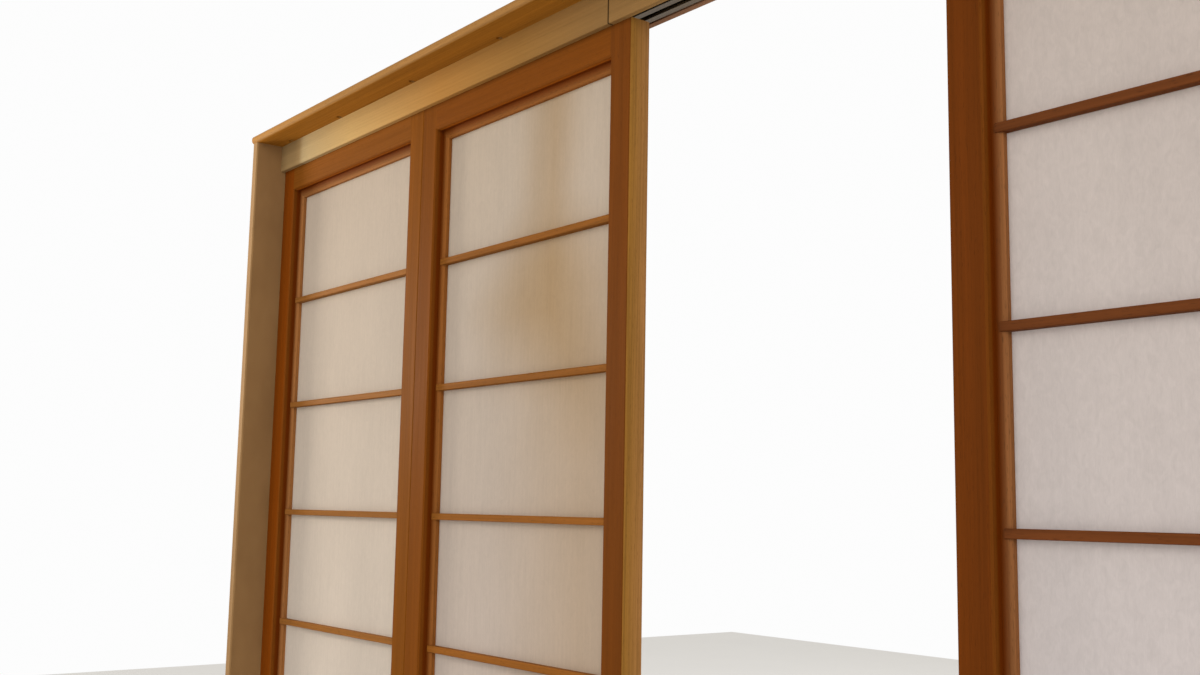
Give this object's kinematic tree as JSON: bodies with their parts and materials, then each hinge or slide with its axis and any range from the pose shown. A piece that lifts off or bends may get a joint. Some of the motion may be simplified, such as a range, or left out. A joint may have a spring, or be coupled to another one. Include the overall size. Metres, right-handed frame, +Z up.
{
  "type": "shoji sliding panel set in a frame",
  "caption": "Wood-framed sliding panels with plain cross-barred lattices backed by translucent paper, hung from head tracks in an opening frame with a boxed head and a grooved sill.",
  "frame": {"origin": "middle of the frame's foot: half way along the head board, half way through its depth, at the sill's underside", "axes": "+X runs along the wall towards the doorway's side, +Y goes through the opening from the front that carries the fascia to the back, +Z is up"},
  "size_m": [2.539, 0.174, 1.936],
  "materials": {
    "head_wood": "orange-brown, satin",
    "jamb_board": "smooth grey-beige paint, matte",
    "sill_wood": "orange-brown, satin",
    "fascia_wood": "new pale golden softwood, unfinished",
    "lip_wood": "pinkish brown, matte",
    "stile_wood": "warm reddish brown, satin",
    "rail_wood": "warm reddish brown, satin",
    "lattice_wood": "warm brown, satin",
    "kumiko_wood": "warm brown, satin",
    "shoji_paper": "translucent, fibrous, matte",
    "track_metal": "dark grey-brown anodised",
    "steel": "zinc plated",
    "wheel_plastic": "off-white nylon",
    "stop_rubber": "black, matte"
  },
  "bodies": {
    "frame": {"head_board": "head_wood", "left_jamb": "jamb_board", "right_jamb": "jamb_board", "sill": "sill_wood", "fascia_left_length": "fascia_wood", "fascia_right_length": "fascia_wood", "rear_lip": "lip_wood", "front_track": "track_metal", "rear_track": "track_metal", "track_screws": "steel", "track_stops": "stop_rubber"},
    "left_panel": {"left_panel_left_stile": "stile_wood", "left_panel_right_stile": "stile_wood", "left_panel_top_rail": "rail_wood", "left_panel_bottom_rail": "rail_wood", "left_panel_lattice_frame": "lattice_wood", "left_panel_kumiko_1": "kumiko_wood", "left_panel_kumiko_2": "kumiko_wood", "left_panel_kumiko_3": "kumiko_wood", "left_panel_kumiko_4": "kumiko_wood", "left_panel_kumiko_5": "kumiko_wood", "left_panel_kumiko_6": "kumiko_wood", "left_panel_paper": "shoji_paper", "left_panel_hanger_plates": "steel", "left_panel_carriages": "steel"},
    "middle_panel": {"middle_panel_left_stile": "stile_wood", "middle_panel_right_stile": "stile_wood", "middle_panel_top_rail": "rail_wood", "middle_panel_bottom_rail": "rail_wood", "middle_panel_lattice_frame": "lattice_wood", "middle_panel_kumiko_1": "kumiko_wood", "middle_panel_kumiko_2": "kumiko_wood", "middle_panel_kumiko_3": "kumiko_wood", "middle_panel_kumiko_4": "kumiko_wood", "middle_panel_kumiko_5": "kumiko_wood", "middle_panel_kumiko_6": "kumiko_wood", "middle_panel_paper": "shoji_paper", "middle_panel_hanger_plates": "steel", "middle_panel_carriages": "steel"},
    "right_panel": {"right_panel_left_stile": "stile_wood", "right_panel_right_stile": "stile_wood", "right_panel_top_rail": "rail_wood", "right_panel_bottom_rail": "rail_wood", "right_panel_lattice_frame": "lattice_wood", "right_panel_kumiko_1": "kumiko_wood", "right_panel_kumiko_2": "kumiko_wood", "right_panel_kumiko_3": "kumiko_wood", "right_panel_kumiko_4": "kumiko_wood", "right_panel_kumiko_5": "kumiko_wood", "right_panel_kumiko_6": "kumiko_wood", "right_panel_paper": "shoji_paper", "right_panel_hanger_plates": "steel", "right_panel_carriages": "steel"},
    "left_panel_wheels_left": {"left_panel_wheels_left": "wheel_plastic"},
    "left_panel_wheels_right": {"left_panel_wheels_right": "wheel_plastic"},
    "middle_panel_wheels_left": {"middle_panel_wheels_left": "wheel_plastic"},
    "middle_panel_wheels_right": {"middle_panel_wheels_right": "wheel_plastic"},
    "right_panel_wheels_left": {"right_panel_wheels_left": "wheel_plastic"},
    "right_panel_wheels_right": {"right_panel_wheels_right": "wheel_plastic"}
  },
  "joints": [
    {"name": "left_panel_slide", "type": "slide", "parent": "frame", "child": "left_panel", "axis": [1, 0, 0], "range_m": [0, 0.568]},
    {"name": "middle_panel_slide", "type": "slide", "parent": "left_panel", "child": "middle_panel", "axis": [1, 0, 0], "range_m": [0, 0.64]},
    {"name": "right_panel_slide", "type": "slide", "parent": "frame", "child": "right_panel", "axis": [1, 0, 0], "range_m": [-1.849, 0]},
    {"name": "left_panel_left_roll", "type": "hinge", "parent": "left_panel", "child": "left_panel_wheels_left", "pos_m": [-1.1345, 0.009, 1.8953], "axis": [0, 1, 0], "range_deg": [0, 3255]},
    {"name": "left_panel_right_roll", "type": "hinge", "parent": "left_panel", "child": "left_panel_wheels_right", "pos_m": [-0.7145, 0.009, 1.8953], "axis": [0, 1, 0], "range_deg": [0, 3255]},
    {"name": "middle_panel_left_roll", "type": "hinge", "parent": "middle_panel", "child": "middle_panel_wheels_left", "pos_m": [-0.4935, 0.009, 1.8953], "axis": [0, 1, 0], "range_deg": [0, 3668]},
    {"name": "middle_panel_right_roll", "type": "hinge", "parent": "middle_panel", "child": "middle_panel_wheels_right", "pos_m": [-0.0735, 0.009, 1.8953], "axis": [0, 1, 0], "range_deg": [0, 3668]},
    {"name": "right_panel_left_roll", "type": "hinge", "parent": "right_panel", "child": "right_panel_wheels_left", "pos_m": [0.7145, 0.052, 1.8953], "axis": [0, 1, 0], "range_deg": [-10595, 0]},
    {"name": "right_panel_right_roll", "type": "hinge", "parent": "right_panel", "child": "right_panel_wheels_right", "pos_m": [1.1345, 0.052, 1.8953], "axis": [0, 1, 0], "range_deg": [-10595, 0]}
  ],
  "couplings": [
    {"joint": "left_panel_left_roll", "follows": "left_panel_slide", "rad_per_m": 100},
    {"joint": "left_panel_right_roll", "follows": "left_panel_slide", "rad_per_m": 100},
    {"joint": "middle_panel_left_roll", "follows": "middle_panel_slide", "rad_per_m": 100},
    {"joint": "middle_panel_right_roll", "follows": "middle_panel_slide", "rad_per_m": 100},
    {"joint": "right_panel_left_roll", "follows": "right_panel_slide", "rad_per_m": 100},
    {"joint": "right_panel_right_roll", "follows": "right_panel_slide", "rad_per_m": 100}
  ]
}
